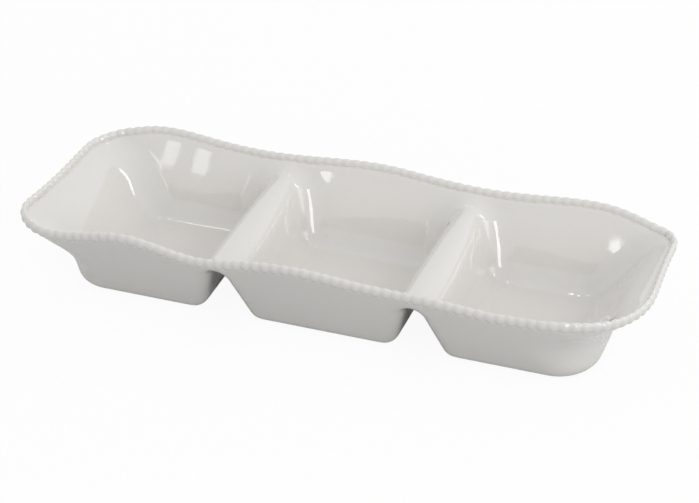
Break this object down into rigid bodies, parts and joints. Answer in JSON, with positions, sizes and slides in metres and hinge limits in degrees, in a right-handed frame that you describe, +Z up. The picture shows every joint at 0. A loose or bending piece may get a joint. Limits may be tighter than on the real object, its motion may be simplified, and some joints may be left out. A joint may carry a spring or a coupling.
{
  "type": "divided serving bowl",
  "caption": "Oblong serving dish with wells in a row between folded dividers, leaning walls, and a wavy rim edged all round with a string of beads.",
  "frame": {"origin": "under the middle of the dish, on the level that the feet stand on", "axes": "+X along the row of wells, +Y to the back, +Z up"},
  "size_m": [0.4504, 0.1622, 0.0678],
  "materials": {
    "glaze": "gloss"
  },
  "bodies": {
    "root": {"left_well": "glaze", "left_divider": "glaze", "centre_well": "glaze", "right_divider": "glaze", "right_well": "glaze", "front_beads": "glaze", "back_beads": "glaze", "left_end_beads": "glaze", "right_end_beads": "glaze"}
  },
  "joints": []
}
